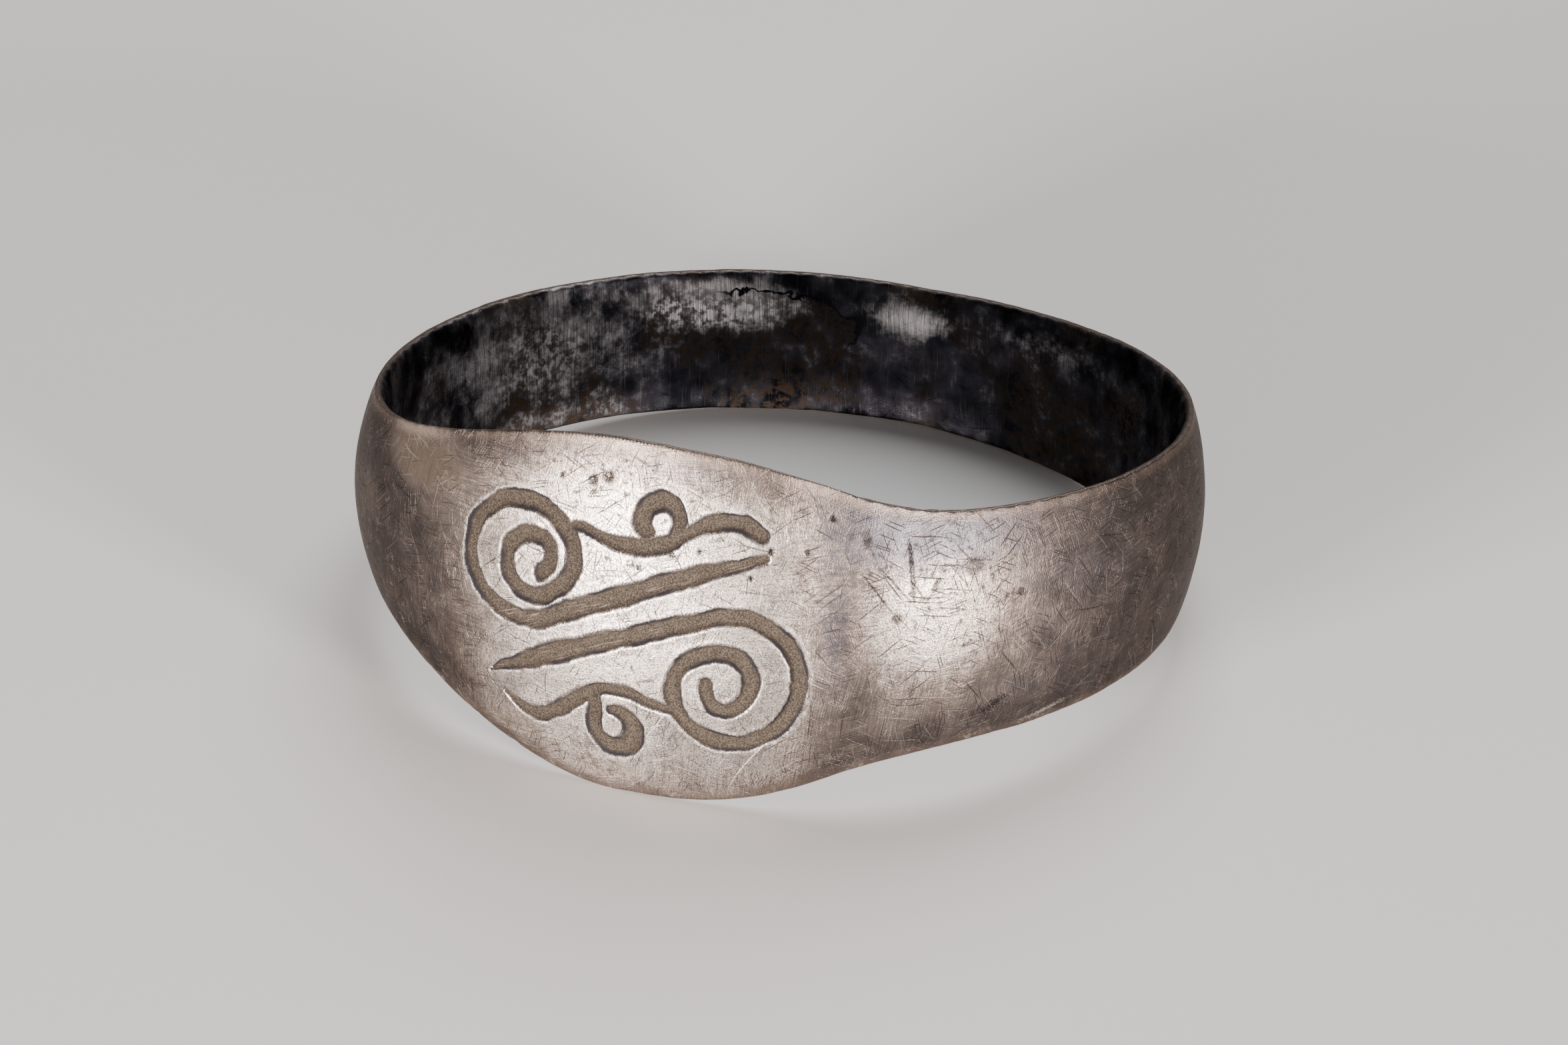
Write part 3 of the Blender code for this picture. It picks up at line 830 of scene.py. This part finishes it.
# Tarnish patches together with painted shade
tarnish_and_shade_here = ramp(scattered(reading("tarnish_and_shade"), mottled, TARNISH_AND_SHADE_UNEVEN), *TARNISH_AND_SHADE_BORDER)
tarnish_and_shade_mask = calculate("MAXIMUM", times(tarnish_spots, SPOTS_STRENGTH), tarnish_and_shade_here)
metal = mixed(times(tarnish_and_shade_mask, TARNISH_AND_SHADE_STRENGTH), metal, BLUE_TARNISH_AND_SHADE)
print("silver and tarnish ready")

# %% [markdown]
# Over the silver come a thin brown film with flecks of soil, the scratches, the rubbed burrs and rims, the pits and
# the marks in known places. A scratch is pale where the metal is bright and hardly shows where it is dull.

# %% Soil, scratches and marks on the silver
DARK_SCRATCH = (0.032, 0.026, 0.025, 1)
LIGHT_SCRATCH = (0.60, 0.54, 0.50, 1)
BROWN_FILM = (0.048, 0.036, 0.025, 1)
PIT_DARK = (0.012, 0.010, 0.009, 1)
SOIL_BORDER = (0.55, 1.15)
SOIL_STRENGTH = 0.75
SOIL_MOTTLING = 0.7
FLECKS_BORDER = (0.57, 0.65)
FLECKS_ZONE = (0.44, 0.56)
FLECKS_STRENGTH = (0.1, 0.55)
DARK_SCRATCH_STRENGTH = 0.94
# How strongly a light scratch shows on dull metal, and on metal that is rubbed or carries painted highlights
LIGHT_SCRATCH_BORDER = (0.0, 0.7)
LIGHT_SCRATCH_STRENGTH = (0.24, 0.60)
BURR_BORDER = (0.42, 0.62)
BURR_STRENGTH = 0.5
RIM_STRENGTH = 0.45
PIT_BORDER = (0.1, 0.7)
PIT_SPECKS = (0.30, 0.50)
PIT_STRENGTH = (0.6, 0.97)
DARK_MARK_STRENGTH = 0.8
LIGHT_MARK_STRENGTH = 0.45

soil_mask = calculate("ADD", soil_here, times(mottled, SOIL_MOTTLING))
soil_mask = ramp(soil_mask, *SOIL_BORDER, 0.0, SOIL_STRENGTH)
flecks = times(ramp(mottled, *FLECKS_BORDER), ramp(cloudy, *FLECKS_ZONE, *FLECKS_STRENGTH))
film_mask = calculate("MAXIMUM", soil_mask, flecks)
metal = mixed(film_mask, metal, BROWN_FILM)
metal = mixed(times(dark_scratches, DARK_SCRATCH_STRENGTH), metal, DARK_SCRATCH)
light_strength = ramp(wear_and_painted_light, *LIGHT_SCRATCH_BORDER, *LIGHT_SCRATCH_STRENGTH)
metal = mixed(times(light_scratches, light_strength), metal, LIGHT_SCRATCH)
metal = mixed(times(burr_here, ramp(mottled, *BURR_BORDER, 0.0, BURR_STRENGTH)), metal, LIGHT_SCRATCH)
metal = mixed(times(rim, RIM_STRENGTH), metal, WARM_SILVER)
pit_mask = times(ramp(reading("pitted"), *PIT_BORDER), ramp(speckled, *PIT_SPECKS, *PIT_STRENGTH))
metal = mixed(calculate("MAXIMUM", pit_mask, times(dark_marks, DARK_MARK_STRENGTH)), metal, PIT_DARK)
metal = mixed(times(light_marks, LIGHT_MARK_STRENGTH), metal, LIGHT_SCRATCH)
print("soil, scratches and marks ready")

# %% [markdown]
# The deposit is a dry mixture of two browns, as fine as sand, and the graver's streaks of warm silver come through
# it. The painted shade along a groove's edge lies over all of this, and is broken where the cloudy noise is low.

# %% Colours in the grooves
DEPOSIT_LIGHT = (0.062, 0.049, 0.038, 1)
DEPOSIT_DARK = (0.021, 0.017, 0.013, 1)
# Painted shade at a groove's edge
GROOVE_EDGE_SHADE = (0.010, 0.010, 0.014, 1)
DEPOSIT_MIX = (0.40, 0.62)
STREAK_STRENGTH = 0.6
EDGE_BORDER = (0.40, 0.60)
EDGE_STRENGTH = (0.2, 0.9)

streaks_shown = times(streaks, STREAK_STRENGTH)
deposit_color = mixed(ramp(speckled, *DEPOSIT_MIX), DEPOSIT_DARK, DEPOSIT_LIGHT)
deposit_color = mixed(streaks_shown, deposit_color, WARM_SILVER)
outside_color = mixed(deposit, metal, deposit_color)
# The painted shade along a groove's edge, broken where the cloudy noise is low
groove_edge_shade_shown = times(edge, ramp(cloudy, *EDGE_BORDER, *EDGE_STRENGTH))
outside_color = mixed(groove_edge_shade_shown, outside_color, GROOVE_EDGE_SHADE)
print("outside colours ready")

# %% [markdown]
# Inside, the tarnish is almost black with blue-grey clouds. In a few places the finger or the cleaning rubbed it
# bare, near the top of the back wall pale patches are painted highlights, and upright brushing shows on both. At the
# back a flake of the patina ends in a sharp, wandering line. It is drawn as a part of an uneven oval on the unrolled
# map, dark along the edge and brown within.

# %% The edge of a flake of patina
# The flake's middle on the unrolled map, and its half width and half height, in mm
FLAKE_MIDDLE = (22.0, 70.25, 0)
FLAKE_HALF_SIZE = (3.0, 1.2, 1)
FLAKE_EDGE = 0.022
FLAKE_PATCH_FADE = 0.03
FLAKE_UNEVEN_BY_CLOUDS = 0.16
FLAKE_UNEVEN_BY_MOTTLING = 0.05
FLAKE_SHOWN_ALONG = (0.5, 0.2)
FLAKE_SHOWN_UP = (-0.4, 0.0)

from_flake = add("ShaderNodeVectorMath", ((0, unrolled_place), (1, FLAKE_MIDDLE)), operation="SUBTRACT").outputs[0]
from_flake = add("ShaderNodeVectorMath", ((0, from_flake), (1, FLAKE_HALF_SIZE)), operation="DIVIDE").outputs[0]
flake_reach = add("ShaderNodeVectorMath", ((0, from_flake),), operation="LENGTH").outputs["Value"]
flake_reach = scattered(flake_reach, cloudy, FLAKE_UNEVEN_BY_CLOUDS, RAGGED_SPAN)
flake_reach = scattered(flake_reach, mottled, FLAKE_UNEVEN_BY_MOTTLING, RAGGED_SPAN)
flake_along, flake_up, _ = add("ShaderNodeSeparateXYZ", ((0, from_flake),)).outputs
flake_shown = times(ramp(flake_along, *FLAKE_SHOWN_ALONG), ramp(flake_up, *FLAKE_SHOWN_UP))
past_flake = calculate("SUBTRACT", flake_reach, 1.0)
flake_line = times(ramp(calculate("ABSOLUTE", past_flake), 2 * FLAKE_EDGE, FLAKE_EDGE), flake_shown)
flake_patch = times(ramp(past_flake, FLAKE_PATCH_FADE, -FLAKE_PATCH_FADE), flake_shown)
print("flake ready")

# %% [markdown]
# The inside is mixed in the same order as the outside: tarnish, bare places with painted highlights, scratches,
# brown and red patches, and last the flake's edge. The reading that tells inside from outside then joins the two,
# with a soft border on the rim.

# %% Colours of the inside
INSIDE_BLACK = (0.010, 0.010, 0.014, 1)
INSIDE_GREY = (0.055, 0.053, 0.064, 1)
# Nearly white: bare silver inside and painted highlights near the top of the back wall
INSIDE_BARE_AND_HIGHLIGHT = (0.92, 0.87, 0.88, 1)
INSIDE_SCRATCH = (0.14, 0.13, 0.13, 1)
INSIDE_BROWN = (0.060, 0.042, 0.028, 1)
INSIDE_RED = (0.07, 0.024, 0.014, 1)
CLOUDS_BORDER = (0.30, 0.75)
INNER_BRUSHING = (88, 1.2, 0.040)
BARE_AND_HIGHLIGHT_UNEVEN_BY_MOTTLING = -0.14
BARE_AND_HIGHLIGHT_UNEVEN_BY_CLOUDS = 0.18
BARE_AND_HIGHLIGHT_BORDER = (0.05, 1.15)
BARE_AND_HIGHLIGHT_BRUSHING_BORDER = (0.38, 0.60)
BARE_AND_HIGHLIGHT_BRUSHING_STRENGTH = (0.45, 1.0)
INNER_SCRATCH_BORDER = (0.60, 0.70)
INNER_SCRATCH_STRENGTH = 0.35
BROWN_BORDER = (0.42, 0.58)
BROWN_ZONE = (0.46, 0.62)
BROWN_STRENGTH = 0.75
FLAKE_BROWN_BORDER = (0.38, 0.60)
FLAKE_BROWN_STRENGTH = 0.8
RED_BORDER = (0.60, 0.68)
RED_ZONE = (0.52, 0.62)
RED_STRENGTH = 0.7

inner_scratches = brushed(*INNER_BRUSHING)
dark = mixed(ramp(cloudy, *CLOUDS_BORDER), INSIDE_BLACK, INSIDE_GREY)
# Bare places inside, and painted highlights near the top of the back wall
bare_and_highlight_inside = scattered(wear_and_light_here, mottled, BARE_AND_HIGHLIGHT_UNEVEN_BY_MOTTLING)
bare_and_highlight_inside = ramp(scattered(bare_and_highlight_inside, cloudy, BARE_AND_HIGHLIGHT_UNEVEN_BY_CLOUDS), *BARE_AND_HIGHLIGHT_BORDER)
bare_and_highlight_inside = times(bare_and_highlight_inside, ramp(inner_scratches, *BARE_AND_HIGHLIGHT_BRUSHING_BORDER, *BARE_AND_HIGHLIGHT_BRUSHING_STRENGTH))
dark = mixed(bare_and_highlight_inside, dark, INSIDE_BARE_AND_HIGHLIGHT)
dark = mixed(ramp(inner_scratches, *INNER_SCRATCH_BORDER, 0.0, INNER_SCRATCH_STRENGTH), dark, INSIDE_SCRATCH)
brown_patches = times(ramp(broad, *BROWN_ZONE), ramp(mottled, *BROWN_BORDER))
flake_brown = times(flake_patch, ramp(mottled, *FLAKE_BROWN_BORDER, 0.0, FLAKE_BROWN_STRENGTH))
brown_patches = calculate("MAXIMUM", brown_patches, flake_brown)
dark = mixed(times(brown_patches, BROWN_STRENGTH), dark, INSIDE_BROWN)
red_spots = times(ramp(mottled, *RED_BORDER), ramp(broad, *RED_ZONE))
dark = mixed(times(red_spots, RED_STRENGTH), dark, INSIDE_RED)
dark = mixed(flake_line, dark, INSIDE_BLACK)
color = mixed(inside, outside_color, dark)
tree.links.new(color, shader.inputs["Base Color"])
print("inside colours ready")

# %% [markdown]
# Gloss and metal go with the colours: bare silver is a metal of middle gloss, dirt is neither. The fine relief is
# a bump of a few thousandths of a mm, and everything wider than a scratch is already in the mesh.

# %% Metal, gloss and fine relief
DIRT_SHINE = 0.12
EDGE_SHINE = (0.52, 0.49, 0.47, 1)
FILM_DULLS = 0.75
INNER_BROWN_DULLS = 0.8
DIRT_ROUGHNESS = 0.85
SILVER_ROUGHNESS = (0.34, 0.46)
SILVER_ROUGHNESS_SPAN = (0.30, 0.70)
SCRATCHES_ROUGHEN = 0.12
SPECKS_ROUGHEN = (-0.05, 0.08)
BUMP_DEPTH = 0.006
# Each height is a share of the bump's depth
BRUSHING_HEIGHT = 0.7
MOTTLED_HEIGHT = 0.8
SPECKS_HEIGHT_ON_SILVER = 1.2
SPECKS_HEIGHT_ON_DEPOSIT = 2.5
SCRATCHES_DEPTH = 0.75
SMALL_PITS_DEPTH = 1.0
MARKS_DEPTH = 2.5

shader.inputs["Specular IOR Level"].default_value = DIRT_SHINE
shader.inputs["Specular Tint"].default_value = EDGE_SHINE

bare_deposit = times(deposit, calculate("SUBTRACT", 1.0, streaks_shown))
dirty_outside = calculate("MAXIMUM", bare_deposit, times(film_mask, FILM_DULLS))
dirty_inside = times(brown_patches, INNER_BROWN_DULLS)
dirty = add("ShaderNodeMix", (("Factor", inside), (2, dirty_outside), (3, dirty_inside))).outputs[0]
tree.links.new(calculate("SUBTRACT", 1.0, dirty), shader.inputs["Metallic"])
silver_roughness = ramp(cloudy, *SILVER_ROUGHNESS_SPAN, *SILVER_ROUGHNESS)
silver_roughness = calculate("ADD", silver_roughness, times(scratches, SCRATCHES_ROUGHEN))
silver_roughness = calculate("ADD", silver_roughness, ramp(speckled, *NARROW_SPAN, *SPECKS_ROUGHEN))
roughness = add("ShaderNodeMix", (("Factor", dirty), (2, silver_roughness), (3, DIRT_ROUGHNESS))).outputs[0]
tree.links.new(roughness, shader.inputs["Roughness"])
relief = times(scratches, -SCRATCHES_DEPTH)
relief = calculate("ADD", relief, times(brushing, BRUSHING_HEIGHT))
relief = calculate("ADD", relief, times(mottled, MOTTLED_HEIGHT))
specks_height = ramp(deposit, 0.0, 1.0, SPECKS_HEIGHT_ON_SILVER, SPECKS_HEIGHT_ON_DEPOSIT)
relief = calculate("ADD", relief, times(speckled, specks_height))
relief = calculate("SUBTRACT", relief, times(small_pits, SMALL_PITS_DEPTH))
relief = calculate("SUBTRACT", relief, times(dark_marks, MARKS_DEPTH))
bump = add("ShaderNodeBump", (("Strength", 1.0), ("Distance", BUMP_DEPTH * MM), ("Height", relief)))
tree.links.new(bump.outputs[0], shader.inputs["Normal"])
print("nodes in the silver:", len(tree.nodes))

# %% [markdown]
# The ring now takes its finish. It rides with the solid's only body and stands in for the plain solid, so that the
# two never show at once.

# %% The ring takes its finish and its place in the model
ring.data.materials.clear()
ring.data.materials.append(silver)
ring.data.shade_smooth()
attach(ring, "root")
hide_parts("ring")
print("triangles:", sum(len(polygon.vertices) - 2 for polygon in ring.data.polygons))

# %% [markdown]
# The stage is a plain pale floor and soft light. Silver shows what stands around it, so the lights decide its look:
# two large soft panels, left and right in front, and one above the back, over a quiet grey surround.

# %% Floor, light and surround
FLOOR_SIZE = 1.2
FLOOR_COLOR = (0.68, 0.675, 0.67, 1)
FLOOR_ROUGHNESS = 0.6
SURROUND = (0.10, 0.10, 0.104, 1)
WARM_LIGHT = (1.0, 0.92, 0.87)
WHITE_LIGHT = (1.0, 1.0, 1.0)
# Each panel is (place in mm, width and height in mm, power in W, colour)
PANELS = {
    "left_panel": ((-75, -245, 27), (90, 50), 3.1, WARM_LIGHT),
    "right_panel": ((240, -120, 27), (60, 50), 2.2, WARM_LIGHT),
    "top_panel": ((-30, 190, 270), (220, 220), 0.9, WHITE_LIGHT),
}

bpy.ops.object.select_all(action="DESELECT")
bpy.ops.mesh.primitive_plane_add(size=FLOOR_SIZE, location=(0, 0, 0))
floor = bpy.context.object
floor.name = "floor"
pale = bpy.data.materials.new("pale_floor")
pale.use_nodes = True
floor_shader = pale.node_tree.nodes["Principled BSDF"]
floor_shader.inputs["Base Color"].default_value = FLOOR_COLOR
floor_shader.inputs["Roughness"].default_value = FLOOR_ROUGHNESS
floor.data.materials.append(pale)
for name, (panel_place, (panel_width, panel_height), power, light_color) in PANELS.items():
    panel = bpy.data.lights.new(name, "AREA")
    panel.shape = "RECTANGLE"
    panel.size = panel_width * MM
    panel.size_y = panel_height * MM
    panel.energy = power
    panel.color = light_color
    lamp = bpy.data.objects.new(name, panel)
    lamp.location = Vector(panel_place) * MM
    lamp.rotation_euler = (-Vector(panel_place)).to_track_quat("-Z", "Y").to_euler()
    bpy.context.scene.collection.objects.link(lamp)
world = bpy.data.worlds.new("surround")
world.use_nodes = True
world.node_tree.nodes["Background"].inputs["Color"].default_value = SURROUND
bpy.context.scene.world = world
print("panels:", ", ".join(PANELS))
